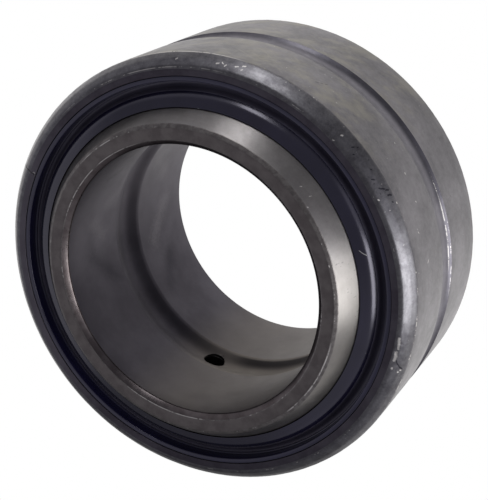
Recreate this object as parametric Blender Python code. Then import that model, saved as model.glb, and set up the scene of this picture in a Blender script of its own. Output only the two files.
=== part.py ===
"""Spherical plain bearing: an inner ring with a ball-shaped outside, an outer ring split at one
place so that it springs over the ball, and a double-lip seal snapped into each side of the outer
ring. It stands on the rear end of its inner ring. +Z is the bore's axis, and the origin is the
centre of the ball, which both rings turn and tilt about."""

import math

import bmesh
import bpy
from mathutils import Euler

MM = 0.001

# Driving sizes of the two rings
BALL_D = 73.0 * MM
INNER_WIDTH = 44.45 * MM
STAND_OUT = 3.175 * MM  # how far the inner ring reaches past each side of the outer ring
END_FACE = 2.295 * MM  # width of the flat on the inner ring's ends
BALL_EDGE = 0.35 * MM  # bevel between that flat and the ball
BORE_CHAMFER = 0.95 * MM
OUTER_WALL = 3.78 * MM  # outer ring, from race to outside, at its middle
CORNER = 2.35 * MM  # chamfer round the outside of the outer ring
CORNER_BULGE = 0.16 * MM  # the chamfer is tumbled, so it is slightly convex
RACE_GAP = 0.2 * MM

# Oil supply: a groove round the outside, one round the bore, and two holes from each
OUTSIDE_GROOVE_WIDTH = 5.6 * MM
OUTSIDE_GROOVE_DEPTH = 1.05 * MM
OUTSIDE_GROOVE_FORM = (3.0, 1.0)  # flatness of the bottom, softness of the edges
BORE_GROOVE_WIDTH = 8.6 * MM
BORE_GROOVE_DEPTH = 1.2 * MM
BORE_GROOVE_FORM = (2.0, 1.5)
OIL_HOLE_D = 4.0 * MM
INNER_HOLES_AT = 141.0
OUTER_HOLES_AT = 200.0

# The break that opens the outer ring
SPLIT_AT = 40.4
SPLIT_WIDTH = 0.12 * MM
SPLIT_WANDER = 0.1 * MM

# Recess for each seal, in the side of the outer ring
SEAL_SEAT_DEPTH = 3.75 * MM
SEAL_SECTION = 3.24 * MM  # from the race's edge to the wall of the recess
UNDERCUT = 0.8 * MM
UNDERCUT_LIP = 1.1 * MM  # wall left over the undercut, which holds the seal in

# Seal
SEAL_GAP = 0.2 * MM
SEAL_BELOW_FACE = 0.2 * MM
SEAL_RIM = 0.85 * MM
CHANNEL_DEPTH = 2.45 * MM
CHANNEL_FLOOR = 1.0 * MM
CHANNEL_STEP = 0.35 * MM  # moulded step on the channel's outer wall
LIP_PROUD = 0.3 * MM  # the outer lip's edge over the side of the outer ring
LIP_BEVEL = 1.87 * MM  # width of the bevel behind that edge
LIP_SLOPE = 20.0
LIP_SHOULDER = 0.95 * MM  # steeper cone that takes the bevel down into the channel
SHOULDER_SLOPE = 47.0
LIP_RELIEF = 0.6 * MM  # how far the seal stands back from the ball between its two lips

# The outer ring and its seals lean by this much on the ball, as they were photographed
REST_TILT = 1.8

SEGMENTS = 72
HOLE_SEGMENTS = 20

# Worked out from the sizes above
ball_r = BALL_D / 2
race_r = ball_r + RACE_GAP
outer_r = race_r + OUTER_WALL
inner_z = INNER_WIDTH / 2
outer_z = inner_z - STAND_OUT
seat_z = outer_z - SEAL_SEAT_DEPTH


def radius_on(sphere_r, z):
    """Distance from the bore's axis of the sphere's surface at height z."""
    return math.sqrt(sphere_r**2 - z**2)


race_edge_r = radius_on(race_r, seat_z)
recess_r = race_edge_r + SEAL_SECTION
face_edge_r = radius_on(ball_r, inner_z - BALL_EDGE) - BALL_EDGE * ball_r / inner_z
bore_r = face_edge_r - END_FACE - BORE_CHAMFER


def sphere_arc(sphere_r, top_z, steps):
    """Points down a sphere about the origin, from top_z to -top_z."""
    top = math.asin(top_z / sphere_r)
    turns = [top - 2 * top * i / steps for i in range(steps + 1)]
    return [(sphere_r * math.cos(a), sphere_r * math.sin(a)) for a in turns]


def bulged(start, end, bulge, steps):
    """Points on a shallow arc from start to end, which bulges to the left of that way."""
    along = (end[0] - start[0], end[1] - start[1])
    length = math.hypot(*along)
    left = (-along[1] / length, along[0] / length)
    points = []
    for i in range(steps + 1):
        t = i / steps
        out = 4 * bulge * t * (1 - t)
        points.append((start[0] + along[0] * t + left[0] * out, start[1] + along[1] * t + left[1] * out))
    return points


def groove(wall_r, width, depth, form, steps):
    """A groove in a wall of radius wall_r, top to bottom. A minus depth cuts outwards."""
    flatness, softness = form
    points = []
    for i in range(steps + 1):
        across = math.sin(math.pi * (0.5 - i / steps))
        into = depth * (1 - abs(across) ** flatness) ** softness
        points.append((wall_r - into, across * width / 2))
    return points


def mirrored(points):
    """The same points below the middle plane, in the opposite order."""
    return [(r, -z) for r, z in reversed(points)]


# Outlines, as (distance from the axis, height), each going down the outside and up the inside

def outer_ring_outline():
    corner = bulged((outer_r - CORNER, outer_z), (outer_r, outer_z - CORNER), CORNER_BULGE, 3)
    undercut_r = recess_r + UNDERCUT
    recess = [
        (race_edge_r, seat_z),
        (recess_r, seat_z),
        (undercut_r, seat_z + UNDERCUT),
        (undercut_r, outer_z - UNDERCUT_LIP - UNDERCUT / 2),
        (recess_r, outer_z - UNDERCUT_LIP),
        (recess_r, outer_z),
    ]
    race = sphere_arc(race_r, seat_z, 8)[1:-1]
    oil_groove = groove(outer_r, OUTSIDE_GROOVE_WIDTH, OUTSIDE_GROOVE_DEPTH, OUTSIDE_GROOVE_FORM, 6)
    outside = corner + oil_groove + mirrored(corner)
    return outside + mirrored(recess) + race[::-1] + recess


def inner_ring_outline():
    end = [(bore_r, inner_z - BORE_CHAMFER), (bore_r + BORE_CHAMFER, inner_z), (face_edge_r, inner_z)]
    ball = sphere_arc(ball_r, inner_z - BALL_EDGE, 16)
    bore = groove(bore_r, BORE_GROOVE_WIDTH, -BORE_GROOVE_DEPTH, BORE_GROOVE_FORM, 6)
    return end + ball + mirrored(end) + bore[::-1]


def seal_outline():
    """The front seal's section: a bead in the undercut, a rim, a channel, and a lip at each edge."""
    rim_r = recess_r - SEAL_GAP
    bead_r = rim_r + UNDERCUT
    top = outer_z - SEAL_BELOW_FACE
    foot = seat_z + SEAL_GAP
    bead_top = outer_z - UNDERCUT_LIP - UNDERCUT / 2 - SEAL_GAP
    clear_r = ball_r + SEAL_GAP
    relief_r = clear_r + LIP_RELIEF

    lip_z = outer_z + LIP_PROUD
    lip = (radius_on(clear_r, lip_z), lip_z)
    bevel_end = (lip[0] + LIP_BEVEL, lip_z - LIP_BEVEL * math.tan(math.radians(LIP_SLOPE)))
    shoulder_drop = LIP_SHOULDER * math.tan(math.radians(SHOULDER_SLOPE))
    shoulder = (bevel_end[0] + LIP_SHOULDER, bevel_end[1] - shoulder_drop)
    inner_lip_z = foot + 0.3 * (top - foot)
    relief_z = (lip_z + inner_lip_z) / 2

    channel_z = top - CHANNEL_DEPTH
    wall_r = rim_r - SEAL_RIM
    floor_r = wall_r - CHANNEL_FLOOR
    step_z = channel_z + 1.5 * CHANNEL_STEP

    rim = [(wall_r, top), (rim_r, top), (rim_r, bead_top + UNDERCUT / 2)]
    bead = [(bead_r, bead_top), (bead_r, foot + UNDERCUT), (rim_r, foot)]
    lips = [
        (radius_on(clear_r, foot) + SEAL_GAP, foot),
        (radius_on(clear_r, inner_lip_z), inner_lip_z),
        (radius_on(relief_r, relief_z), relief_z),
        (radius_on(clear_r, lip_z - 0.4 * LIP_RELIEF), lip_z - 0.4 * LIP_RELIEF),
    ]
    bevel = [lip, bevel_end, shoulder]
    channel = [
        (floor_r - 0.3 * CHANNEL_FLOOR, channel_z + CHANNEL_STEP),
        (floor_r + 0.2 * CHANNEL_FLOOR, channel_z),
        (wall_r - CHANNEL_STEP, channel_z),
        (wall_r - CHANNEL_STEP, step_z),
        (wall_r - 0.3 * CHANNEL_STEP, step_z),
    ]
    return rim + bead + lips + bevel + channel


# Objects

def material(name, colour, roughness, metallic):
    mat = bpy.data.materials.new(name)
    mat.use_nodes = True
    shader = mat.node_tree.nodes["Principled BSDF"]
    shader.inputs["Base Color"].default_value = (*colour, 1.0)
    shader.inputs["Roughness"].default_value = roughness
    shader.inputs["Metallic"].default_value = metallic
    return mat


def add_mesh(name, bm):
    bmesh.ops.recalc_face_normals(bm, faces=bm.faces)
    mesh = bpy.data.meshes.new(name)
    bm.to_mesh(mesh)
    bm.free()
    obj = bpy.data.objects.new(name, mesh)
    bpy.context.scene.collection.objects.link(obj)
    return obj


def turned(name, outline, mat, parent):
    """The outline turned once round the bore's axis."""
    bm = bmesh.new()
    verts = [bm.verts.new((r, 0.0, z)) for r, z in outline]
    edges = [bm.edges.new((a, b)) for a, b in zip(verts, verts[1:] + verts[:1])]
    bmesh.ops.spin(
        bm, geom=verts + edges, cent=(0, 0, 0), axis=(0, 0, 1),
        angle=math.tau, steps=SEGMENTS, use_merge=True,
    )
    obj = add_mesh(name, bm)
    obj.data.shade_smooth()
    obj.data.set_sharp_from_angle(angle=math.radians(25))
    obj.data.materials.append(mat)
    obj.parent = parent
    return obj


def cut(target, cutter):
    """Takes the cutter, which moves with the target's own frame, out of the target."""
    cutter.parent = target
    cutter.hide_render = True
    cutter.display_type = "WIRE"
    boolean = target.modifiers.new(cutter.name, "BOOLEAN")
    boolean.operation = "DIFFERENCE"
    boolean.solver = "EXACT"
    boolean.object = cutter


def drill_oil_holes(ring, first_at, near_r, far_r):
    """Two holes, on opposite sides, straight out from the axis between the two radii."""
    for number, turn in enumerate((first_at, first_at + 180.0), start=1):
        bm = bmesh.new()
        bmesh.ops.create_cone(
            bm, cap_ends=True, segments=HOLE_SEGMENTS,
            radius1=OIL_HOLE_D / 2, radius2=OIL_HOLE_D / 2, depth=far_r - near_r,
        )
        drill = add_mesh(f"{ring.name}_drill_{number}", bm)
        turn = math.radians(turn)
        middle = (near_r + far_r) / 2
        drill.location = (middle * math.cos(turn), middle * math.sin(turn), 0.0)
        drill.rotation_euler = Euler((0.0, math.pi / 2, turn))
        cut(ring, drill)


def split(ring):
    """A hairline through the whole section at one place, which wanders as a break does."""
    start = race_edge_r - 2 * SEAL_SECTION
    end = outer_r + SEAL_SECTION
    steps = 9
    bm = bmesh.new()
    sides = []
    for side in (-1, 1):
        for i in range(steps + 1):
            r = start + (end - start) * i / steps
            y = SPLIT_WANDER * math.sin(2.4 * i) + side * SPLIT_WIDTH / 2
            sides.append(bm.verts.new((r, y, -inner_z)))
    near, far = sides[: steps + 1], sides[steps + 1 :]
    strips = [bm.faces.new((near[i], near[i + 1], far[i + 1], far[i])) for i in range(steps)]
    raised = bmesh.ops.extrude_face_region(bm, geom=strips)["geom"]
    lifted = [v for v in raised if isinstance(v, bmesh.types.BMVert)]
    bmesh.ops.translate(bm, verts=lifted, vec=(0, 0, 2 * inner_z))
    blade = add_mesh("split_blade", bm)
    blade.rotation_euler = Euler((0.0, 0.0, math.radians(SPLIT_AT)))
    cut(ring, blade)


def empty(name, parent=None):
    obj = bpy.data.objects.new(name, None)
    obj.empty_display_size = ball_r
    obj.parent = parent
    bpy.context.scene.collection.objects.link(obj)
    return obj


def main():
    for obj in list(bpy.data.objects):
        bpy.data.objects.remove(obj, do_unlink=True)

    ball_centre = empty("ball_centre")
    outer_axis = empty("outer_axis", ball_centre)
    outer_axis.rotation_euler = Euler((math.radians(REST_TILT), 0.0, 0.0))

    blacked_steel = material("blacked_steel", (0.14, 0.135, 0.13), 0.45, 0.85)
    ground_steel = material("ground_steel", (0.22, 0.205, 0.19), 0.32, 0.9)
    seal_rubber = material("seal_rubber", (0.018, 0.017, 0.03), 0.4, 0.0)

    outer_ring = turned("outer_ring", outer_ring_outline(), blacked_steel, outer_axis)
    drill_oil_holes(outer_ring, OUTER_HOLES_AT, ball_r - OUTER_WALL, outer_r + OUTER_WALL)
    split(outer_ring)

    inner_ring = turned("inner_ring", inner_ring_outline(), ground_steel, ball_centre)
    drill_oil_holes(inner_ring, INNER_HOLES_AT, bore_r - OUTER_WALL, ball_r + OUTER_WALL)

    turned("front_seal", seal_outline(), seal_rubber, outer_axis)
    turned("rear_seal", mirrored(seal_outline()), seal_rubber, outer_axis)

    print(f"bore {2000 * bore_r:.2f} mm, outside {2000 * outer_r:.2f} mm, ball {1000 * BALL_D:.2f} mm")
    print(f"recess radius {1000 * recess_r:.2f} mm, end face edge {1000 * face_edge_r:.2f} mm")


main()
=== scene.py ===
# %% [markdown]
# # A spherical plain bearing, dressed for its picture
#
# The bearing has four pieces: an inner ring whose outside is a ball, an outer ring that was broken
# at one place to spring over that ball, and a rubber seal in each side of the outer ring. The
# packed CAD model is the frame: it says where each piece is and how it moves. This script turns a
# finer copy of each piece on the same centre, gives every surface its own finish, and sets up a
# plain studio round it.
#
# First the packed model is loaded, and its box is kept, because the finished look has to stay
# inside it.

import math

import bmesh
import bpy
import numpy as np
from mathutils import Euler, Matrix, Vector, noise


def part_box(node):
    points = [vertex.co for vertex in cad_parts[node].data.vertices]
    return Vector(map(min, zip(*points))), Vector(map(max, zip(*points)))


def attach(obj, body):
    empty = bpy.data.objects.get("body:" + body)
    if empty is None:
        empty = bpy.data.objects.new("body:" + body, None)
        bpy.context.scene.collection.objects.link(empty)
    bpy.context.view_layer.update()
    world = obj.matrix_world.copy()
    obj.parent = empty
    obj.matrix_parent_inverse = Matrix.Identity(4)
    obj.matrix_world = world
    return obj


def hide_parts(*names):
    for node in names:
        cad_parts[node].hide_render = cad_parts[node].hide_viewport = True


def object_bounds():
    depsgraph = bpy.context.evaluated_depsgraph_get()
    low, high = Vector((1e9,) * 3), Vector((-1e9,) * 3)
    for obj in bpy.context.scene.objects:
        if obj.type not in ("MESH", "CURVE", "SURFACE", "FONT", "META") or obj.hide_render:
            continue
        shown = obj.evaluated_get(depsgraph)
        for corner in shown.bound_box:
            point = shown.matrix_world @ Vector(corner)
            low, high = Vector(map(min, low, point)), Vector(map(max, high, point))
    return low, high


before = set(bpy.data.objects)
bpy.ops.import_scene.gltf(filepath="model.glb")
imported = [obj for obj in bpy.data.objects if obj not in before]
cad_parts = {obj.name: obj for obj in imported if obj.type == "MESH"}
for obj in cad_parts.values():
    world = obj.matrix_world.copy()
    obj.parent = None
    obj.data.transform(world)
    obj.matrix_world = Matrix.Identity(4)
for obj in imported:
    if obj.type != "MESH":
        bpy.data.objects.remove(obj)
cad_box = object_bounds()
print("CAD box in mm:", [round(1000 * (b - a), 2) for a, b in zip(*cad_box)])

# %% [markdown]
# ## The camera
#
# The picture was taken from in front and above, close enough for the far side of the ring to look
# smaller. Its viewpoint was found by fitting the circles of the rings to the picture. The middle of
# the picture isn't quite where the lens pointed, so a small shift puts it back. The long side of
# the image is its height, 500 pixels, and Blender's sensor width belongs to the long side.

# %% Camera
IMAGE_HEIGHT = 500
FOCAL_PIXELS = 1299.5
CAMERA_AT = Vector((0.0331, -0.1327, 0.2082))
LOOKS_ALONG = Vector((-0.1049, 0.5615, -0.8208))
CAMERA_UP = Vector((0.9123, -0.2742, -0.3041))

eye = bpy.data.cameras.new("studio_camera")
eye.sensor_width = 36.0
eye.lens = FOCAL_PIXELS / IMAGE_HEIGHT * eye.sensor_width
eye.shift_x = 0.1125
eye.shift_y = -0.0441
eye.clip_start = 0.01
camera = bpy.data.objects.new("studio_camera", eye)
bpy.context.scene.collection.objects.link(camera)
right = LOOKS_ALONG.cross(CAMERA_UP).normalized()
up = right.cross(LOOKS_ALONG).normalized()
turn = Matrix((right, up, -LOOKS_ALONG.normalized())).transposed()
camera.matrix_world = Matrix.Translation(CAMERA_AT) @ turn.to_4x4()
bpy.context.scene.camera = camera
print(f"lens {eye.lens:.1f} mm at {CAMERA_AT.length * 1000:.0f} mm from the bearing's centre")

# %% [markdown]
# ## The real sizes
#
# The sizes of the sections are those of the CAD source, in millimetres. The outer ring and its
# seals lean on the ball by a small angle, as they were when the picture was taken. Each of their
# pieces is made upright and then leaned as an object, so that its own coordinates stay those of a
# ring: a finish can then follow the distance from the axis and the height.

# %% Sizes
MM = 0.001
BALL_R = 36.5
BORE_R = 25.4
INNER_Z = 22.225
BORE_CHAMFER = 0.95
END_FACE_R = 28.64
RACE_R = 36.7
OUTER_R = 40.48
OUTER_Z = 19.05
CORNER = 2.35
CORNER_BULGE = 0.19
OUTSIDE_GROOVE = {"width": 5.6, "depth": 1.05, "flatness": 3.0, "softness": 1.0}
BORE_GROOVE = {"width": 8.6, "depth": 1.2, "flatness": 2.0, "softness": 1.9}
OIL_HOLE_R = 2.0
RECESS_R = 36.6
SEAT_Z = 15.3
UNDERCUT, UNDERCUT_BELOW = 0.8, 1.5
OUTER_HOLES_AT, INNER_HOLES_AT = 200.0, 141.0
RING_LEAN = 1.8
SPLIT_AT = 40.4
SPLIT_WIDTH = 0.12

def across(sphere_r, z):
    """Distance from the axis of a sphere's surface at height z."""
    return math.sqrt(sphere_r**2 - z**2)

print("race edge radius", round(across(RACE_R, SEAT_Z), 2), "mm")

# %% [markdown]
# ## A section to turn
#
# Every piece here was turned on a lathe or moulded round, so each one is a section swept round an
# axis. A section is a list of corners. Each corner says how far it is from the axis, how high it
# is, how much it is rounded, and which finish the run after it has. Real edges are never sharp:
# a rounding of a tenth of a millimetre is what catches the light as a thin bright line. The helper
# below rounds the corners and divides long runs, so that the wear added later has points to move.

# %% Rounded sections
def corner(r, z, rounding, finish):
    return {"at": np.array((r, z), float), "rounding": rounding, "finish": finish}

def rounded(corners, longest, steps=4):
    """(points, finishes): the closed section as points, and the finish of the run after each."""
    points, finishes = [], []
    count = len(corners)
    for i, this in enumerate(corners):
        before, after = corners[i - 1], corners[(i + 1) % count]
        back, on = before["at"] - this["at"], after["at"] - this["at"]
        reach = min(this["rounding"], 0.45 * np.linalg.norm(back), 0.45 * np.linalg.norm(on))
        start = this["at"] + back / np.linalg.norm(back) * reach
        end = this["at"] + on / np.linalg.norm(on) * reach
        bend = 1 + back @ on / (np.linalg.norm(back) * np.linalg.norm(on))
        if this["rounding"] == 0 or bend < 0.01:
            points.append(this["at"])
            finishes.append(this["finish"])
            continue
        edge = this.get("edge", this["finish"])
        pieces = max(steps, math.ceil(reach / 0.12))
        for k in range(pieces + 1):
            t = k / pieces
            points.append((1 - t) ** 2 * start + 2 * t * (1 - t) * this["at"] + t**2 * end)
            finishes.append(edge if k < pieces else this["finish"])
    return divided(points, finishes, longest)

def divided(points, finishes, longest):
    out, kept = [], []
    for i, (p, finish) in enumerate(zip(points, finishes)):
        q = points[(i + 1) % len(points)]
        parts = max(1, math.ceil(np.linalg.norm(q - p) / longest.get(finish, longest["any"])))
        for k in range(parts):
            out.append(p + (q - p) * k / parts)
            kept.append(finish)
    return np.array(out), kept

print("rounding helper ready")

# %% [markdown]
# ## Sweeping the section
#
# The sweep is written out as rows of points, because a plain Screw modifier couldn't leave the
# hairline break open or give the nick more points than the rest. Stations are the angles of the
# sweep: coarse where the ring is plain, fine where something small is cut into it. A shaping
# function may move each point in or out along the section's own normal, by hundredths of a
# millimetre, and returns how bare the steel is there.

# %% Sweeping helper
def stations(coarse, *fine):
    """Angles in degrees from 0 to 360: every coarse degrees, with finer steps in the given ranges."""
    angles = list(np.arange(0, 360, coarse))
    for start, end, step in fine:
        angles = [a for a in angles if not start <= a <= end]
        angles += list(np.arange(start, end + step / 2, step))
    return np.array(sorted(angles))

def outward(points):
    """Unit normals of a section that goes down its outside and up its inside."""
    ahead = np.roll(points, -1, 0) - points
    ahead /= np.linalg.norm(ahead, axis=1)[:, None]
    behind = np.roll(ahead, 1, 0)
    along = ahead + behind
    along /= np.linalg.norm(along, axis=1)[:, None]
    return np.stack([-along[:, 1], along[:, 0]], 1)

def swept(name, section, angles, finishes, shape=None, open_at=None):
    """Sweeps the section through the angles. finishes maps a finish's name to its material."""
    points, runs = section
    normals = outward(points)
    turns = np.radians(angles)[:, None]
    r, z = points[:, 0][None, :], points[:, 1][None, :]
    push, bare = shape(np.degrees(turns), r, z) if shape else (0.0, 0.0)
    push = push + 0.0 * (turns + r)
    bare = np.clip(bare + 0.0 * (turns + r), 0, 1)
    far = r + push * normals[:, 0]
    high = z + push * normals[:, 1]
    sideways = open_at(np.degrees(turns), r, z) / far if open_at else 0.0
    xyz = np.stack([far * np.cos(turns + sideways), far * np.sin(turns + sideways), high], -1)
    rows, across_count = xyz.shape[:2]
    index = np.arange(rows * across_count).reshape(rows, across_count)
    closed = open_at is None
    here = index if closed else index[:-1]
    there = np.roll(index, -1, 0) if closed else index[1:]
    quads = np.stack([here, np.roll(here, -1, 1), np.roll(there, -1, 1), there], -1).reshape(-1, 4)
    faces = quads.tolist()
    slots = list(finishes)
    used = [slots.index(run) for run in runs] * len(here)
    if not closed:
        faces += [index[0].tolist(), index[-1][::-1].tolist()]
        used += [slots.index("break")] * 2
    mesh = bpy.data.meshes.new(name)
    mesh.from_pydata((xyz.reshape(-1, 3) * MM).tolist(), [], faces)
    for finish in slots:
        mesh.materials.append(finishes[finish])
    mesh.polygons.foreach_set("material_index", used)
    mesh.shade_smooth()
    if not closed:
        mesh.polygons[-1].use_smooth = mesh.polygons[-2].use_smooth = False
    wear = mesh.attributes.new("bare", "FLOAT", "POINT").data
    wear.foreach_set("value", bare.astype(np.float32).ravel())
    mesh.validate()
    obj = bpy.data.objects.new(name, mesh)
    bpy.context.scene.collection.objects.link(obj)
    print(f"{name}: {len(points)} points in the section, {2 * len(quads)} triangles")
    return obj

print("a ring with a station every 3 degrees has", len(stations(3.0)))

# %% [markdown]
# ## Small unevenness
#
# Tumbling, handling and grinding leave marks that never repeat. A seeded noise read at each
# point's own place gives them, the same in every run. The scale is in millimetres.

# %% Unevenness helper
def unevenness(degrees, r, z, scale, seed=0.0):
    """Noise from -1 to 1 at each point of a sweep, one value for each angle and section point."""
    turns = np.radians(degrees)
    x, y = r * np.cos(turns), r * np.sin(turns)
    heights = z + 0.0 * x
    flat = np.stack([x, y, heights], -1).reshape(-1, 3) / scale + seed
    return np.array([noise.noise(p) for p in flat.tolist()]).reshape(x.shape)

def near(value, middle, width):
    """1 at the middle, falling smoothly to 0 at width from it."""
    return np.clip(1 - ((value - middle) / width) ** 2, 0, 1) ** 2

print("noise at the origin:", round(noise.noise((0.3, 0.1, 0.7)), 3))

# %% [markdown]
# ## Nodes of a finish
#
# A finish is a small network of nodes. They could be joined by hand in the shader editor, but all
# the finishes here are alike, so it is quicker to write the parts once. This class adds a node
# with its settings and links, and starts with the coordinates of a ring, in millimetres: the
# distance from the axis, the height, and a direction round the ring that has no seam.

# %% Node helpers
def feed(tree, socket, value):
    """Links another node's output to the socket, or sets a value on it."""
    if isinstance(value, bpy.types.NodeSocket):
        tree.links.new(value, socket)
    else:
        socket.default_value = (*value[:3], 1.0) if socket.type == "RGBA" else value

def add_node(tree, kind, settings=None, *ordered, **named):
    """A new node. Its sockets are given in order or by name, each as a value or as what feeds it."""
    node = tree.nodes.new(kind)
    for key, value in (settings or {}).items():
        setattr(node, key, value)
    for where, value in [*enumerate(ordered), *named.items()]:
        where = where.replace("_", " ") if isinstance(where, str) else where
        feed(tree, node.inputs[where], value)
    return node

class Nodes:
    """A material under construction, with the coordinates of a ring."""

    def __init__(self, name):
        self.material = bpy.data.materials.new(name)
        self.material.use_nodes = True
        self.tree = self.material.node_tree
        self.shader = self.tree.nodes["Principled BSDF"]
        place = self.add("ShaderNodeTexCoord").outputs["Object"]
        self.point = self.vector("SCALE", place, Scale=1000.0)
        parts = self.parts = self.add("ShaderNodeSeparateXYZ", Vector=self.point).outputs
        flat = self.add("ShaderNodeCombineXYZ", X=parts["X"], Y=parts["Y"]).outputs[0]
        self.radius = self.measure("LENGTH", flat)
        self.height = parts["Z"]
        self.outwards = self.vector("NORMALIZE", flat)
        high = self.add("ShaderNodeCombineXYZ", Z=self.height).outputs[0]
        self.round = self.vector("ADD", self.outwards, high)

    def add(self, *what, **named):
        return add_node(self.tree, *what, **named)

    def math(self, operation, *values, clamp=False):
        return self.add("ShaderNodeMath", {"operation": operation, "use_clamp": clamp}, *values).outputs[0]

    def vector(self, operation, *values, **named):
        return self.add("ShaderNodeVectorMath", {"operation": operation}, *values, **named).outputs[0]

    def measure(self, operation, *vectors):
        """The number that a vector operation gives, such as a length or a dot product."""
        return self.add("ShaderNodeVectorMath", {"operation": operation}, *vectors).outputs["Value"]

    def mix(self, share, first, second):
        """first where share is 0, second where it is 1; colours are (red, green, blue)."""
        node = self.add("ShaderNodeMix", {"data_type": "RGBA"})
        for where, value in ((0, share), (6, first), (7, second)):
            feed(self.tree, node.inputs[where], value)
        return node.outputs[2]

    def bump(self, height, depth, under=None):
        """A bump of that depth in millimetres where height goes from 0 to 1."""
        node = self.add("ShaderNodeBump", None, Strength=1.0, Distance=depth * MM, Height=height)
        if under is not None:
            self.tree.links.new(under, node.inputs["Normal"])
        return node.outputs[0]

    def done(self, **sockets):
        for name, value in sockets.items():
            feed(self.tree, self.shader.inputs[name.replace("_", " ")], value)
        return self.material

print("node helpers ready")

# %% [markdown]
# ## Patterns on a ring
#
# Ground and blacked steel is never one even tone. Blender's noise makes all its patterns: clouds,
# marks drawn out round the ring as the lathe left them, and slanting smears, for which the ring's
# outside is laid flat. A pattern can also be kept to one side of the ring: for oil that dried where
# the piece lay, for wear, and for painted light and shade that make one side lighter or darker.
# Noise that is read at the point's own place has no seam. The flat layout has one, so it is used
# only for smears that keep clear of it.

# %% Pattern helpers
class Patterns(Nodes):
    """Patterns in the ring's own coordinates."""

    def raw_noise(self, **named):
        return self.add("ShaderNodeTexNoise", {"noise_dimensions": "4D"}, **named).outputs

    def noise(self, scale, detail=3.0, roughness=0.55, seed=0.0, at=None):
        """Cloudy noise, about 0 to 1, in patches 1 / scale millimetres across."""
        where = at or self.point
        return self.raw_noise(Vector=where, W=seed, Scale=scale, Detail=detail, Roughness=roughness)["Fac"]

    def streaks(self, fineness, length, seed=0.0, detail=2.0):
        """Noise drawn out round the ring: fineness per millimetre across, length in patches a turn."""
        at = self.vector("MULTIPLY", self.round, (length, length, fineness))
        out = self.math("MULTIPLY_ADD", self.radius, fineness, seed)
        return self.raw_noise(Vector=at, W=out, Scale=1.0, Detail=detail)["Fac"]

    def between(self, value, low, high, to_low=0.0, to_high=1.0):
        """Smoothly from to_low, where value is low, to to_high, where it is high."""
        smooth = {"interpolation_type": "SMOOTHSTEP"}
        return self.add("ShaderNodeMapRange", smooth, value, low, high, to_low, to_high).outputs[0]

    def facing(self, degrees, half_width, soft):
        """1 on the part of the ring within half_width degrees of that direction, with soft ends."""
        turn = math.radians(degrees)
        along = self.measure("DOT_PRODUCT", self.outwards, (math.cos(turn), math.sin(turn), 0.0))
        outer, inner = (math.cos(math.radians(half_width + more)) for more in (soft, -soft))
        return self.between(along, outer, inner)

    def unrolled(self, slant, along, across_it):
        """The ring's outside laid flat and turned by slant degrees, with patches per mm both ways."""
        turn = math.radians(slant)
        arc = self.math("MULTIPLY", self.math("ARCTAN2", self.parts["Y"], self.parts["X"]), self.radius)
        flat = self.add("ShaderNodeCombineXYZ", X=arc, Y=self.height).outputs[0]
        u = self.measure("DOT_PRODUCT", flat, (along * math.cos(turn), along * math.sin(turn), 0.0))
        v = self.measure("DOT_PRODUCT", flat, (-across_it * math.sin(turn), across_it * math.cos(turn), 0.0))
        return self.add("ShaderNodeCombineXYZ", X=u, Y=v).outputs[0]

print("patterns:", ", ".join(name for name in vars(Patterns) if name[0] != "_"))

# %% [markdown]
# ## Small marks
#
# A scratch is a tenth of a millimetre wide. To cut it into the mesh would take points that close
# together all round the ring, so it is drawn by the finish instead: a stroke is the space near a
# short line between two places. Noise moves the line a little, and its edge breaks up. An edge
# that was rubbed is a thin line round the ring at one radius and height, and noise decides where
# the dark skin has gone.

# %% Mark helpers
def spot(place, shift):
    """A place given as (degrees, radius) or (degrees, radius, height), as a point moved by shift."""
    turn, r = math.radians(place[0]), place[1]
    z = place[2] + shift if len(place) > 2 else 0.0
    return Vector((r * math.cos(turn) + shift, r * math.sin(turn) + shift, z))

class Finish(Patterns):
    """A finish that can also draw marks."""

    def strokes(self, places, ragged=0.25, core=0.3):
        """1 on short marks, each from one place to another, with a width in mm.

        A place without a height is at any height on the front side."""
        shift = self.raw_noise(Vector=self.point, W=2.5, Scale=2.5)["Color"]
        loose = self.vector("MULTIPLY_ADD", shift, (ragged, ragged, ragged), self.point)
        level = self.vector("MULTIPLY", loose, (1.0, 1.0, 0.0))
        front = self.math("GREATER_THAN", self.height, 0.0)
        total = 0.0
        for start, end, width in places:
            first, last = spot(start, ragged / 2), spot(end, ragged / 2)
            along = last - first + Vector((1e-4, 0.0, 0.0))
            off = self.vector("SUBTRACT", loose if len(start) > 2 else level, first[:])
            share = self.measure("DOT_PRODUCT", off, (along / along.length_squared)[:])
            foot = self.vector("SCALE", along[:], Scale=self.math("MULTIPLY", share, 1.0, clamp=True))
            mark = self.between(self.measure("DISTANCE", off, foot), core * width, width, 1.0, 0.0)
            if len(start) == 2:
                mark = self.math("MULTIPLY", mark, front)
            total = self.math("MAXIMUM", total, mark)
        return total

    def rubs(self, edges, seed):
        """1 on broken bright lines. Each has a radius, height, width, amount, and a side of the ring."""
        section = self.add("ShaderNodeCombineXYZ", X=self.radius, Y=self.height).outputs[0]
        fine, broad = self.noise(2.4, 2.0, 0.6, seed), self.noise(0.35, 2.0, 0.5, seed)
        worn = self.math("MULTIPLY_ADD", fine, 0.8, broad)
        total = 0.0
        for r, z, width, amount, degrees, half_width in edges:
            away = self.measure("DISTANCE", section, (r, z, 0.0))
            line = self.between(away, 0.3 * width, width, 1.0, 0.0)
            broken = self.between(worn, 1.04 - amount, 1.12 - amount)
            place = self.math("MULTIPLY", self.facing(degrees, half_width, 8.0), line)
            total = self.math("MAXIMUM", total, self.math("MULTIPLY", place, broken))
        return total

print("a place at 90 degrees:", [round(value, 2) for value in spot((90.0, 40.0), 0.0)])
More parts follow.
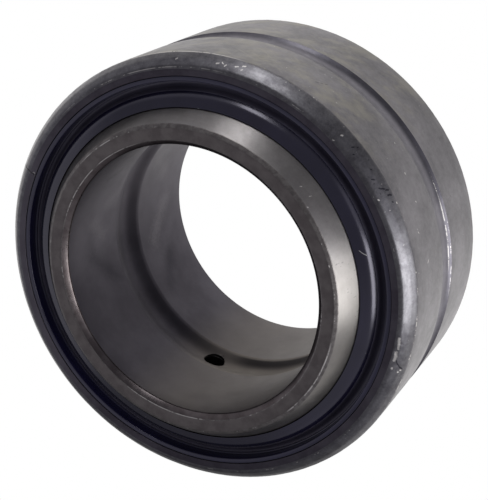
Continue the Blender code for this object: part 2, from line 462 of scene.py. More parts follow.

# %% [markdown]
# ## Steel finishes
#
# The steel of the outer ring is blacked: a thin dark oxide with the grinding or turning still
# showing through it, cloudy where oil has dried. One recipe makes all the steels. It mixes two
# tints in clouds and marks that run round the ring, and lets the roughness follow. Over that come
# a stain of dried oil, painted light and shade that make one side of a ring lighter or darker,
# painted shade in the lower part of a groove, and soft smears: real smudges and whitish painted
# highlights. Last comes bare metal: in specks, along rubbed edges, on scratches, and where the
# points of the mesh say that the surface was knocked away.

# %% Recipe for steel
# The last of these colours is dark: real dirt in pits and smudges, and painted shade where it darkens one
# side of a ring or a groove.
BARE, STAIN, DARK_DIRT_AND_PAINTED_SHADE = (0.62, 0.60, 0.58), (0.236, 0.222, 0.186), (0.018, 0.017, 0.026)

def steel(name, dark, light, rough, clouds=0.25, marks=12.0, mark_depth=0.002, mark_tone=0.25,
          mottle=0.0, grain=0.0, specks=0.0, stain=None, painted_light_and_shade=(), groove_painted_shade=(), smears_and_painted_highlights=(), rubs=(),
          bright=(), pits=(), pit_share=0.8, metallic=1.0, seed=0.0):
    """A steel of two tints, with what lies on it, what was rubbed off, and painted light and shade.

    A painted light or shade is (degrees, half width, softness, share, colour): it lightens or
    darkens one side of the ring. A painted groove shade is (foot, full up to, ends at, share,
    degrees, half width). Smears, real ones and whitish painted highlights, are (places,
    raggedness, share, colour)."""
    f = Finish(name)
    cloud = f.between(f.noise(clouds, 4.0, 0.6, seed), 0.36, 0.64)
    mark = f.streaks(marks, 1.2, seed)
    tone = f.math("MULTIPLY", cloud, 1 - mark_tone - mottle)
    tone = f.math("MULTIPLY_ADD", mark, mark_tone, tone)
    if mottle:
        patch = f.between(f.noise(0.9, 5.0, 0.75, seed + 1.0), 0.3, 0.7)
        tone = f.math("MULTIPLY_ADD", patch, mottle, tone)
    if grain:
        uneven = f.math("SUBTRACT", f.noise(2.2, 3.0, 0.8, seed + 2.0), 0.5)
        tone = f.math("MULTIPLY_ADD", uneven, grain, tone)
    colour = f.mix(tone, dark, light)
    if stain:
        colour = f.mix(stain(f), colour, STAIN)
    # Painted light and shade: each entry paints one side of the ring lighter or darker in a colour.
    for degrees, half_width, soft, share, tint in painted_light_and_shade:
        cloudy = f.math("MULTIPLY_ADD", f.noise(0.15, 3.0, 0.6, seed + 9.0), 0.5 * share, 0.75 * share)
        colour = f.mix(f.math("MULTIPLY", f.facing(degrees, half_width, soft), cloudy), colour, tint)
    # Painted shade: each entry darkens the part of a groove below a given height, by a share on one side of
    # the ring.
    for foot, low, high, share, degrees, half_width in groove_painted_shade:
        above = f.between(f.height, foot - 0.3, foot + 0.2)
        deep = f.math("MULTIPLY", f.between(f.height, low, high, share, 0.0), above)
        colour = f.mix(f.math("MULTIPLY", f.facing(degrees, half_width, 8.0), deep), colour, DARK_DIRT_AND_PAINTED_SHADE)
    # Smears: real smudges of oil on the bore, and whitish painted highlights on the chamfer.
    for places, ragged, share, tint in smears_and_painted_highlights:
        colour = f.mix(f.math("MULTIPLY", f.strokes(places, ragged, -0.5), share), colour, tint)
    worn = f.add("ShaderNodeAttribute", {"attribute_name": "bare"}).outputs["Fac"]
    grit = f.noise(2.6, 3.0, 0.6, seed + 3.0)
    rubbed = f.between(f.math("ADD", worn, grit), 0.98, 1.12)
    if specks:
        spot = f.between(f.noise(1.9, 1.0, 0.5, seed + 7.0), 0.80 - specks, 0.83 - specks)
        rubbed = f.math("MAXIMUM", rubbed, f.math("MULTIPLY", spot, 0.5))
    if rubs:
        rubbed = f.math("MAXIMUM", rubbed, f.rubs(rubs, seed + 6.0))
    if bright:
        rubbed = f.math("MAXIMUM", rubbed, f.strokes(bright))
    colour = f.mix(rubbed, colour, BARE)
    if pits:
        colour = f.mix(f.math("MULTIPLY", f.strokes(pits), pit_share), colour, DARK_DIRT_AND_PAINTED_SHADE)
    blur = f.math("MULTIPLY_ADD", f.noise(clouds * 4, 3.0, 0.6, seed + 5.0), 0.18, rough - 0.09)
    fine = f.bump(f.noise(6.0, 2.0, 0.6, seed), 0.004)
    return f.done(
        Base_Color=colour, Metallic=metallic,
        Roughness=f.math("MULTIPLY_ADD", rubbed, 0.10, blur),
        Normal=f.bump(mark, mark_depth, fine),
    )

def drilled_hole(seed):
    return steel("drilled_hole", (0.03, 0.028, 0.03), (0.06, 0.055, 0.055), 0.5, marks=3.0, seed=seed)

print("steel recipe ready; the scene has", len(bpy.data.materials), "finishes so far")

# %% [markdown]
# ## The outer ring's finishes
#
# The flat side is the blackest, because nothing rubs it; it is painted paler on one side of the
# ring and darker on another, as painted light and shade. The broad chamfer was tumbled, so it is
# smoother and shows the soft boxes as broad highlights, with whitish painted highlights laid on
# them and painted shade on two sides. The outside was ground after blacking and then handled: it
# is a warm grey with paler clouds, and a tan film of oil dried on it where the ring lay uppermost.
# The oil groove is smoother, darkened towards its rear edge by painted shade, with a paler painted
# highlight at one place. The marks that can be counted are listed one by one, by their angle and
# radius; the finest are scattered by a seeded draw.

# %% Where the outer ring is rubbed and knocked
EDGE_IN, EDGE_OUT = (38.2, 19.04), (40.44, 16.72)
OUTER_RUBS = (  # radius, height, width, amount, and the side: its middle and half width in degrees
    (*EDGE_IN, 0.13, 0.20, 352, 22),
    (*EDGE_IN, 0.11, 0.02, 240, 100),
    (*EDGE_OUT, 0.16, 0.34, 341, 14),
    (*EDGE_OUT, 0.16, 0.02, 250, 62),
    (*EDGE_OUT, 0.16, 0.12, 233, 12),
)
NICK = (
    ((237.4, 38.42), (235.6, 38.54), 0.30), ((235.6, 38.54), (234.4, 38.58), 0.24),
    ((233.4, 38.45), (232.1, 38.5), 0.34), ((232.1, 38.5), (231, 38.45), 0.28),
    ((228.9, 38.48), (228.6, 38.48), 0.20), ((227.9, 39.52), (227.7, 39.56), 0.16),
    ((228.4, 39.75), (228.2, 39.8), 0.15),
)
SCRATCHES = (
    ((339.9, 39.35), (339.5, 39.5), 0.12), ((328.6, 39.3), (327.9, 39.4), 0.12),
    ((327.2, 39.6), (326.7, 39.4), 0.11), ((326.3, 39.15), (325.9, 39.4), 0.11),
    ((323.6, 39.5), (322.8, 39.6), 0.12), ((321.9, 39.8), (321.2, 39.9), 0.12),
    ((321.8, 39.2), (321.4, 39.4), 0.10), ((291.9, 39.38), (291.6, 39.46), 0.16),
    ((292.4, 38.13), (292.1, 38.2), 0.15), ((274.1, 38.6), (273.8, 38.7), 0.15),
    ((336.2, 36.8), (335.9, 36.8), 0.12),
)
# Whitish patches painted on the chamfer where the two soft boxes' highlights fall: painted highlights.
CHAMFER_PAINTED_HIGHLIGHTS = (
    ((262, 38.9), (257, 39.3), 0.9), ((255, 39), (249, 39.5), 0.8),
    ((247, 39.3), (242, 39), 0.6), ((322, 39), (316, 39.4), 0.9),
    ((313, 39.1), (309, 39.4), 0.6),
)
GOUGE = (((231.1, 38.75), (229.7, 39.3), 0.13), ((229.7, 39.3), (228.7, 39.9), 0.13))
scatter = np.random.default_rng(12)

def scattered(count, degrees, radii, longest, run, rise, thinnest, wider):
    """Short marks at random places. Each turns by run and goes out by rise, times its length."""
    draws = (scatter.uniform(*limits, count) for limits in (degrees, radii, (0, longest)))
    return tuple(
        ((at, r), (at + run * long, r + rise * long), thinnest + wider * long)
        for at, r, long in zip(*draws)
    )

TICKS = scattered(15, (272, 289), (38.9, 40.1), 1.2, -0.35, 0.2, 0.11, 0.05)

def on_wall(radius, places):
    """Marks on a straight wall of that radius: each goes from one (degrees, height) to another."""
    return tuple(((a, radius, u), (b, radius, v), width) for (a, u), (b, v), width in places)

OUTSIDE_SPECKS = on_wall(OUTER_R, (
    ((275.7, 8.5), (275.4, 8.6), 0.16), ((262, 12.4), (261.6, 12.2), 0.12),
    ((283, 5.6), (282.8, 5.7), 0.12), ((254, 10), (253.4, 10.6), 0.12),
    ((299, 12.5), (298.8, 12.5), 0.12), ((268.5, 9.4), (268.2, 9.1), 0.11),
))
OUTSIDE_PITS = on_wall(OUTER_R, (
    ((306.4, 10.8), (305.8, 10.3), 0.14), ((305.4, 9.9), (305, 9.6), 0.15),
    ((304.6, 9.2), (304.1, 8.8), 0.13), ((263.2, -7), (262.8, -7.1), 0.16),
))
print(len(NICK + SCRATCHES + OUTSIDE_SPECKS), "bright marks,", len(TICKS + OUTSIDE_PITS), "dark ones")

# %% Outer ring finishes
def dried_oil(f):
    """Tan film of dried oil in slanting smears, with hair scratches, where the ring lay uppermost."""
    place = f.facing(321, 32, 13)
    smear = f.between(f.noise(1, 6, 0.72, 12, at=f.unrolled(32, 0.09, 0.17)), 0.44, 0.60)
    hairs = f.between(f.noise(1, 2, 0.6, 5, at=f.unrolled(-38, 0.10, 1.7)), 0.60, 0.69)
    crossing = f.between(f.noise(1, 2, 0.6, 6, at=f.unrolled(44, 0.12, 1.9)), 0.62, 0.71)
    scored = f.math("MULTIPLY", f.math("MAXIMUM", hairs, crossing), f.facing(332, 20, 14))
    film = f.math("MULTIPLY_ADD", smear, 0.62, f.math("MULTIPLY", scored, 0.60))
    return f.math("MULTIPLY", place, film, clamp=True)

OUTER_GROOVE_PAINTED_SHADE = (  # foot, full and end of the painted shade in height, share, middle and half width in degrees
    (-9, -2.3, -1.1, 0.52, 291, 25), (-9, -2.3, -1.1, 0.16, 340, 22),
    (-9, -2.3, -1.1, 0.30, 150, 80), (-9, -2.2, -1.4, 0.30, 253, 10),
)
GROOVE_RUBS = (
    (40.02, -2.3, 0.13, 0.22, 255.5, 3.5), (40.37, -2.7, 0.10, 0.12, 249.5, 4.5),
    (40.02, -2.3, 0.10, 0.02, 268, 10),
)
GROUND_OUTSIDE = {"clouds": 0.13, "marks": 7, "mark_tone": 0.10, "mottle": 0.40, "seed": 3.0}
outer_finishes = {
    "side": steel(
        "blacked_side", (0.072, 0.064, 0.080), (0.108, 0.099, 0.120), 0.42, clouds=0.3, marks=9,
        grain=0.5, seed=1, rubs=OUTER_RUBS[:2], bright=NICK[:5] + SCRATCHES[6:9],
        # Painted light and shade: the flat side is painted paler at about 70 degrees and darker at about
        # 165.
        painted_light_and_shade=((70, 38, 14, 0.38, (0.20, 0.185, 0.215)), (165, 18, 15, 0.30, DARK_DIRT_AND_PAINTED_SHADE)),
    ),
    "chamfer": steel(
        "tumbled_chamfer", (0.099, 0.095, 0.107), (0.228, 0.225, 0.240), 0.34, clouds=0.4, marks=3.5,
        mark_depth=0.0016, mottle=0.45, grain=1, specks=0.06, seed=2, rubs=OUTER_RUBS,
        # Below, the whitish smears are painted highlights, and the two darker sides at about 183 and 286
        # degrees are painted shade.
        bright=NICK + SCRATCHES, pits=TICKS + GOUGE, smears_and_painted_highlights=((CHAMFER_PAINTED_HIGHLIGHTS, 1.6, 0.30, (0.44, 0.43, 0.45)),),
        painted_light_and_shade=((183, 30, 15, 0.28, DARK_DIRT_AND_PAINTED_SHADE), (286, 9, 8, 0.2, DARK_DIRT_AND_PAINTED_SHADE)),
    ),
    "outside": steel(
        "ground_outside", (0.094, 0.090, 0.099), (0.194, 0.185, 0.201), 0.42, mark_depth=0.0012,
        grain=0.8, metallic=0.95, specks=0.05, stain=dried_oil, rubs=OUTER_RUBS[2:],
        bright=OUTSIDE_SPECKS, pits=OUTSIDE_PITS, **GROUND_OUTSIDE,
    ),
    "groove": steel(
        # Painted shade darkens the groove towards its rear edge, and a paler patch at about 252 degrees is a
        # painted highlight.
        "blacked_groove", (0.130, 0.125, 0.142), (0.215, 0.207, 0.234), 0.34, groove_painted_shade=OUTER_GROOVE_PAINTED_SHADE,
        rubs=GROOVE_RUBS, painted_light_and_shade=((252, 9, 7, 0.15, (0.30, 0.29, 0.32)),), **GROUND_OUTSIDE,
    ),
    "recess": steel("turned_recess", (0.10, 0.095, 0.095), (0.20, 0.19, 0.18), 0.45, marks=6, seed=6),
    "race": steel("race", (0.16, 0.15, 0.14), (0.28, 0.27, 0.25), 0.38, marks=10, seed=7),
    "break": steel("fresh_break", (0.18, 0.17, 0.16), (0.30, 0.29, 0.28), 0.6, clouds=2, seed=8),
    "hole": drilled_hole(9),
}
print("outer ring finishes:", ", ".join(outer_finishes))

# %% [markdown]
# ## The outer ring
#
# Its section goes down the outside and up the inside. The break at one place lets a hardened ring
# spring over the ball. In a real ring it is a hairline that wanders a little, because the ring is
# cracked and not cut, so the two ends of the sweep stay apart by a tenth of a millimetre and share
# the same wander.

# %% Outer ring section
def chamfer_points(sign):
    """The tumbled chamfer at the front or rear, slightly rounded, from the side to the outside."""
    start = np.array((OUTER_R - CORNER + 0.25, OUTER_Z))
    end = np.array((OUTER_R, OUTER_Z - CORNER))
    out = []
    for t in np.linspace(0, 1, 3):
        p = start + (end - start) * t + 4 * CORNER_BULGE * t * (1 - t) * np.array((0.7071, 0.7071))
        out.append((p[0], sign * p[1]))
    return out

def groove_points(wall_r, form, inwards=1, steps=20):
    """Points down a groove of that form, cut inwards or (-1) outwards from a wall of that radius."""
    out = []
    for across_it in np.sin(np.linspace(0.5, -0.5, steps + 1) * math.pi):
        into = form["depth"] * (1 - abs(across_it) ** form["flatness"]) ** form["softness"]
        out.append((wall_r - inwards * into, across_it * form["width"] / 2))
    return out

def outer_ring_section():
    front, rear = chamfer_points(1), chamfer_points(-1)[::-1]
    under = RECESS_R + UNDERCUT
    out = [corner(RECESS_R, OUTER_Z, 0.10, "side")]
    out += [corner(*front[0], 0.55, "chamfer")] + [corner(*p, 0, "chamfer") for p in front[1:-1]]
    out += [corner(*front[-1], 0.14, "outside")]
    groove = groove_points(OUTER_R, OUTSIDE_GROOVE)
    out += [corner(*groove[0], 0.3, "groove")] + [corner(*p, 0, "groove") for p in groove[1:-1]]
    out += [corner(*groove[-1], 0.3, "outside")]
    out += [corner(*rear[0], 0.14, "chamfer")] + [corner(*p, 0, "chamfer") for p in rear[1:-1]]
    out += [corner(*rear[-1], 0.55, "side"), corner(RECESS_R, -OUTER_Z, 0.10, "recess")]
    recess = [
        (RECESS_R, -(OUTER_Z - 1.1)), (under, -(OUTER_Z - UNDERCUT_BELOW)),
        (under, -(SEAT_Z + UNDERCUT)), (RECESS_R, -SEAT_Z),
    ]
    out += [corner(*p, 0.05, "recess") for p in recess]
    out += [corner(across(RACE_R, SEAT_Z), -SEAT_Z, 0.1, "race")]
    out += [corner(across(RACE_R, z), z, 0, "race") for z in np.linspace(-SEAT_Z, SEAT_Z, 17)[1:-1]]
    out += [corner(across(RACE_R, SEAT_Z), SEAT_Z, 0.1, "recess")]
    out += [corner(r, -z, 0.05, "recess") for r, z in recess[::-1]]
    return rounded(out, {"any": 4.0, "side": 0.5, "chamfer": 0.4, "outside": 3.0})

print("outer ring section:", len(outer_ring_section()[0]), "points")

# %% [markdown]
# ## Wear on the outer ring
#
# The chamfer's two edges are rubbed, most where the ring was rolled on a bench. At one place on
# the front a hard corner struck the inner edge of the chamfer and tore a short ragged nick, and
# next to the break a few grains came away. All of it is cut into the shape, a few hundredths of a
# millimetre deep. The nick and the grains are marked as bare steel on the points of the mesh; the
# finishes draw the thin bright lines along the edges.

# %% Wear and the break
NICK_AT, NICK_R = 233.0, 38.45

def outer_wear(degrees, r, z):
    small = unevenness(degrees, r, z, 0.9, 11.0)
    broad = unevenness(degrees, r, z, 3.5, 12.0)
    on_chamfer = near(r, OUTER_R - CORNER / 2, 1.5) * near(np.abs(z), OUTER_Z - CORNER / 2, 1.5)
    inner_edge = near(r, OUTER_R - CORNER, 0.28) * near(np.abs(z), OUTER_Z, 0.3)
    outer_edge = near(r, OUTER_R, 0.2) * near(np.abs(z), OUTER_Z - CORNER, 0.35)
    edges = np.maximum(inner_edge, outer_edge)
    push = on_chamfer * (0.012 * broad + 0.006 * small) - edges * (0.03 + 0.03 * small)
    front = z > 0
    ragged = unevenness(degrees, r, z, 0.55, 21.0)
    nick = front * near(degrees, NICK_AT, 5.2) * near(r, NICK_R + 0.15 * ragged, 0.42)
    push = push - nick * (0.10 + 0.16 * np.abs(ragged))
    chips = front * near(np.abs(degrees - SPLIT_AT), 0.35, 0.5) * near(r, RECESS_R + 0.4, 0.5) * (small > 0)
    return push - 0.12 * chips, np.maximum(nick * (0.5 + 0.6 * ragged), chips)

def break_opening(degrees, r, z):
    """How far, in mm along the ring, a point moves so that the two ends leave the hairline open."""
    after = (degrees - SPLIT_AT) % 360.0
    side = np.where(after < 180.0, 1.0, -1.0)
    distance = np.minimum(after, 360.0 - after)
    close = np.exp(-((distance / 1.5) ** 2))
    wander = 0.10 * np.sin(1.9 * r + 0.4 * z) + 0.05 * np.sin(5.3 * r + 2.0)
    return close * (wander + 0.5 * SPLIT_WIDTH * side)

turns = stations(0.8, (38.0, 43.0, 0.2), (227.0, 239.0, 0.15))
turns = turns[turns > SPLIT_AT].tolist() + (360.0 + turns[turns < SPLIT_AT]).tolist()
turns = np.array([SPLIT_AT + 1e-6] + turns + [SPLIT_AT + 360.0 - 1e-6])
outer_skin = swept(
    "outer_ring_skin", outer_ring_section(), turns, outer_finishes,
    shape=lambda degrees, r, z: outer_wear(degrees % 360.0, r, z), open_at=break_opening,
)

# %% [markdown]
# ## Oil holes
#
# Oil gets to the ball through holes drilled from the grooves. A Boolean with a drill of the
# same size cuts them, and the drill has a small countersink, as a deburred hole has.

# %% Drilling
COUNTERSINK, DRILL_SIDES = 0.1, 48

def drilled(target, first_at, surface_r, into, reach):
    """Cuts two opposite radial holes. into is 1 when the drill starts outside, -1 when inside."""
    for turn in (first_at, first_at + 180.0):
        bm = bmesh.new()
        wide = OIL_HOLE_R + COUNTERSINK
        rings = []
        for radius, out in ((wide, 1.5), (wide, 0.0), (OIL_HOLE_R, -COUNTERSINK), (OIL_HOLE_R, -reach)):
            far = surface_r + into * out
            ring = [
                bm.verts.new(Vector((far, radius * math.cos(a), radius * math.sin(a))) * MM)
                for a in np.linspace(0, math.tau, DRILL_SIDES, endpoint=False)
            ]
            rings.append(ring)
        for upper, lower in zip(rings, rings[1:]):
            for k in range(DRILL_SIDES):
                on = (k + 1) % DRILL_SIDES
                bm.faces.new((upper[k], upper[on], lower[on], lower[k]))
        bm.faces.new(rings[0])
        bm.faces.new(rings[-1])
        bmesh.ops.recalc_face_normals(bm, faces=bm.faces)
        mesh = bpy.data.meshes.new("drill")
        bm.to_mesh(mesh)
        bm.free()
        for slot in target.data.materials:
            mesh.materials.append(slot)
        mesh.polygons.foreach_set("material_index", [len(mesh.materials) - 1] * len(mesh.polygons))
        drill = bpy.data.objects.new("drill", mesh)
        drill.rotation_euler = Euler((0, 0, math.radians(turn)))
        bpy.context.scene.collection.objects.link(drill)
        cut = target.modifiers.new("drill", "BOOLEAN")
        cut.operation, cut.solver, cut.object = "DIFFERENCE", "EXACT", drill
        bpy.context.view_layer.update()
        finished = target.evaluated_get(bpy.context.evaluated_depsgraph_get())
        solid = bpy.data.meshes.new_from_object(finished)
        target.modifiers.clear()
        old, target.data = target.data, solid
        bpy.data.meshes.remove(old)
        bpy.data.objects.remove(drill)
    print(f"{target.name}: two holes drilled, {len(target.data.polygons)} faces")

drilled(outer_skin, OUTER_HOLES_AT, OUTER_R - OUTSIDE_GROOVE["depth"], 1, 6.0)

# %% [markdown]
# ## The inner ring
#
# The ball is hardened and finely ground, so it shows the soft boxes as broad pale bands; where the
# right one falls it is painted warmer and paler as a painted highlight. Its two ends are ground flat
# and stayed a brownish dark grey. The bore was ground too, and is cloudy with smudges of oil, dark
# ones and pale ones, that end without an edge. It is painted lighter on two sides, and warmer on
# one, as painted light; its groove is darkened towards the rear edge by painted shade, and the
# lead-in chamfer is painted darker on one side as painted shade. The edges of the end face have
# been knocked against shafts and trays: the edge towards the ball has a burred bright line.

# %% Inner ring finishes
# Painted light: the bore is painted lighter and warmer at about 168 degrees, and paler at about 45.
BORE_PAINTED_LIGHT = (  # middle and half width in degrees, softness, share, colour
    (168, 30, 20, 0.50, (0.27, 0.245, 0.222)),
    (45, 16, 20, 0.26, (0.24, 0.225, 0.26)),
)
BALL_CORNER, MOUTH = (28.74, 22.14), (26.33, 22.2)
INNER_RUBS = (
    (*BALL_CORNER, 0.12, 0.20, 3, 14), (*BALL_CORNER, 0.16, 0.24, 222, 4),
    (*BALL_CORNER, 0.16, 0.16, 208, 3), (*BALL_CORNER, 0.11, 0.04, 215, 60),
    (*BALL_CORNER, 0.10, 0.00, 100, 90), (*MOUTH, 0.13, 0.24, 20, 22), (*MOUTH, 0.11, 0.05, 70, 30),
    (*MOUTH, 0.13, 0.24, 146, 18), (*MOUTH, 0.10, 0.04, 225, 60),
)
BALL_PITS = scattered(16, (236, 262), (29.4, 31.6), 1, 0.2, 0.15, 0.07, 0.04)
BALL_NICKS = (
    ((288.4, 30), (288.1, 30.15), 0.07), ((284.2, 30.12), (284, 30.3), 0.07),
    ((281.7, 29.3), (281.5, 29.4), 0.07),
)
BORE_SMUDGES = on_wall(BORE_R, (
    ((19.4, 9.4), (17.6, 12.4), 0.9), ((16.6, 10.4), (19, 8.8), 0.7), ((31.5, 12.6), (28.5, 9), 1.2),
    ((70, 13), (84, 6), 3.2), ((88, -13), (100, -8), 3.6),
))
BORE_PALE = on_wall(BORE_R, (
    ((34, -7), (46, -13), 3.4), ((47, 9), (43, 5.2), 2.2),
    ((62, -15), (78, -9), 3), ((54, 13), (62, 9), 2.4),
))
GROUND_BORE = {
    "clouds": 0.07, "marks": 9, "mark_tone": 0.15, "mottle": 0.15, "mark_depth": 0.0012, "seed": 25,
}
inner_finishes = {
    "ball": steel(
        "polished_ball", (0.198, 0.187, 0.186), (0.293, 0.280, 0.279), 0.33, clouds=0.18, marks=5,
        mark_depth=0.0006, mark_tone=0.35, grain=0.7, mottle=0.15, metallic=0.93, seed=21,
        rubs=INNER_RUBS[:5], bright=BALL_NICKS, pits=BALL_PITS, pit_share=0.4,
        # Painted highlight: the ball is painted warmer and paler at about 232 degrees, where the right soft
        # box is mirrored.
        painted_light_and_shade=((232, 24, 16, 0.5, (0.305, 0.290, 0.266)),),
    ),
    "end": steel(
        "ground_end", (0.137, 0.121, 0.121), (0.195, 0.177, 0.173), 0.36, clouds=0.4, marks=8,
        grain=0.4, seed=22, rubs=INNER_RUBS,
    ),
    "edge": steel(
        "burred_edge", (0.14, 0.128, 0.126), (0.25, 0.234, 0.228), 0.36, clouds=1.2, marks=4,
        seed=23, rubs=INNER_RUBS,
    ),
    "lead_in": steel(
        "lead_in_chamfer", (0.11, 0.092, 0.092), (0.19, 0.167, 0.167), 0.30, clouds=0.3, marks=6,
        # Painted shade: the lead-in chamfer is painted darker at about 122 degrees.
        seed=24, rubs=INNER_RUBS[5:], painted_light_and_shade=((122, 22, 15, 0.4, DARK_DIRT_AND_PAINTED_SHADE),),
    ),
    "bore": steel(
        # The bore's two lighter sides are painted light; its smudges are real.
        "ground_bore", (0.074, 0.068, 0.084), (0.118, 0.110, 0.132), 0.40, painted_light_and_shade=BORE_PAINTED_LIGHT,
        smears_and_painted_highlights=((BORE_SMUDGES, 2, 0.55, DARK_DIRT_AND_PAINTED_SHADE), (BORE_PALE, 3.5, 0.45, (0.25, 0.238, 0.26))),
        **GROUND_BORE,
    ),
    "groove": steel(
        "bore_groove", (0.074, 0.068, 0.084), (0.118, 0.110, 0.134), 0.55,
        # Painted light on two sides as in the bore, and painted shade darkening the groove towards its rear
        # edge.
        painted_light_and_shade=((168, 30, 20, 0.85, (0.31, 0.28, 0.255)), (38, 18, 18, 0.6, BORE_PAINTED_LIGHT[1][4])),
        groove_painted_shade=((-3.5, -2.6, -0.4, 0.35, 95, 45), (-3.5, -2.5, -0.7, 0.74, 178, 28),
              (-3.5, -2.6, -0.4, 0.5, 280, 60)),
        **GROUND_BORE,
    ),
    "hole": drilled_hole(27),
}
print("inner ring finishes:", ", ".join(inner_finishes))

# %% Inner ring
BALL_EDGE_Z = INNER_Z - 0.35

def inner_ring_section():
    out = [corner(BORE_R, INNER_Z - BORE_CHAMFER, 0.25, "lead_in")]
    out += [corner(BORE_R + BORE_CHAMFER, INNER_Z, 0.12, "end"), corner(END_FACE_R, INNER_Z, 0.10, "edge")]
    lats = np.linspace(math.asin(BALL_EDGE_Z / BALL_R), -math.asin(BALL_EDGE_Z / BALL_R), 61)
    ball = [corner(BALL_R * math.cos(a), BALL_R * math.sin(a), 0, "ball") for a in lats]
    ball[0]["rounding"], ball[-1]["rounding"], ball[-1]["finish"] = 0.12, 0.12, "edge"
    out += ball
    out += [corner(END_FACE_R, -INNER_Z, 0.10, "end")]
    out += [corner(BORE_R + BORE_CHAMFER, -INNER_Z, 0.12, "lead_in")]
    out += [corner(BORE_R, -INNER_Z + BORE_CHAMFER, 0.25, "bore")]
    groove = groove_points(BORE_R, BORE_GROOVE, -1)[::-1]
    out += [corner(*p, 0, "groove") for p in groove[:-1]] + [corner(*groove[-1], 0, "bore")]
    for point in out:
        if point["rounding"] in (0.10, 0.12):
            point["edge"] = "edge"
    return rounded(out, {"any": 3.0, "end": 0.45})

def inner_wear(degrees, r, z):
    small = unevenness(degrees, r, z, 0.6, 31.0)
    ball_edge = near(r, END_FACE_R + 0.2, 0.35) * near(np.abs(z), INNER_Z, 0.5)
    mouth = near(r, BORE_R + BORE_CHAMFER, 0.2) * near(np.abs(z), INNER_Z, 0.2)
    push = -ball_edge * (0.02 + 0.006 * small) - mouth * 0.02 * (1 + small)
    return push, 0.0

inner_skin = swept("inner_ring_skin", inner_ring_section(), stations(0.75), inner_finishes, shape=inner_wear)
drilled(inner_skin, INNER_HOLES_AT, BORE_R + BORE_GROOVE["depth"], -1, 14.0)

# %% [markdown]
# ## The seals
#
# A seal is moulded rubber with two lips that wipe the ball, a flexible channel, and a rim that is
# snapped into the undercut of the outer ring. New rubber of this kind is a very dark navy with a
# satin bloom. Its own recipe is dielectric, with a slight sheen, specks of dust, faint moulding
# rings, and a pale hair of lint on the bevel. The channel is much paler than the rest: partly
# dust, and partly painted light that lifts the shade in the channel.

# %% Rubber
def rubber(name, colour, pale, rough, seed=0.0, hairs=()):
    f = Finish(name)
    bloom = f.between(f.noise(0.12, 3.0, 0.6, seed), 0.35, 0.68)
    ring_mark = f.streaks(4.0, 0.8, seed)
    tint = f.mix(f.math("MULTIPLY", bloom, f.math("MULTIPLY_ADD", ring_mark, 0.8, 0.4)), colour, pale)
    dust = f.between(f.noise(2.2, 2.0, 0.5, seed + 4.0), 0.74, 0.78)
    tint = f.mix(f.math("MULTIPLY", dust, 0.25), tint, (0.25, 0.25, 0.26))
    if hairs:
        tint = f.mix(f.strokes(hairs, 0.1), tint, (0.42, 0.42, 0.40))
    blur = f.math("MULTIPLY_ADD", f.noise(0.8, 3.0, 0.6, seed + 2.0), 0.12, rough - 0.06)
    skin = f.bump(f.noise(5.0, 2.0, 0.6, seed), 0.004)
    return f.done(
        Base_Color=tint, Metallic=0.0, Roughness=blur, Specular_IOR_Level=1.0,
        Specular_Tint=(0.88, 0.86, 1.0), Sheen_Weight=0.03, Sheen_Roughness=0.4,
        Normal=f.bump(ring_mark, 0.002, skin),
    )

seal_finishes = {
    "rubber": rubber("seal_rubber", (0.004, 0.0035, 0.018), (0.008, 0.007, 0.030), 0.22, 41.0),
    "bevel": rubber("seal_bevel", (0.0035, 0.003, 0.012), (0.0075, 0.0066, 0.021), 0.20, 42.0, hairs=(
        ((262.2, 32.2), (261.3, 32.55), 0.07), ((261.3, 32.55), (260.3, 33.1), 0.07),
        ((332.6, 31.2), (332.4, 31.2), 0.10),
    )),
    # Partly dust and partly painted light: the channel's rubber is several times paler than the rest,
    # lifting the shade in the channel.
    "channel": rubber("paler_channel_dust_and_painted_light", (0.034, 0.031, 0.050), (0.058, 0.054, 0.078), 0.42, 43.0),
}
print("seal finishes:", ", ".join(seal_finishes))

# %% Seals
SEAL_GAP = 0.2
BEVEL, SHOULDER = (1.87, 20.0), (0.95, 47.0)  # how wide, in mm, and how steep, in degrees
CHANNEL_DEPTH = 2.45

def down_slope(start, width, steepness):
    return start[0] + width, start[1] - width * math.tan(math.radians(steepness))

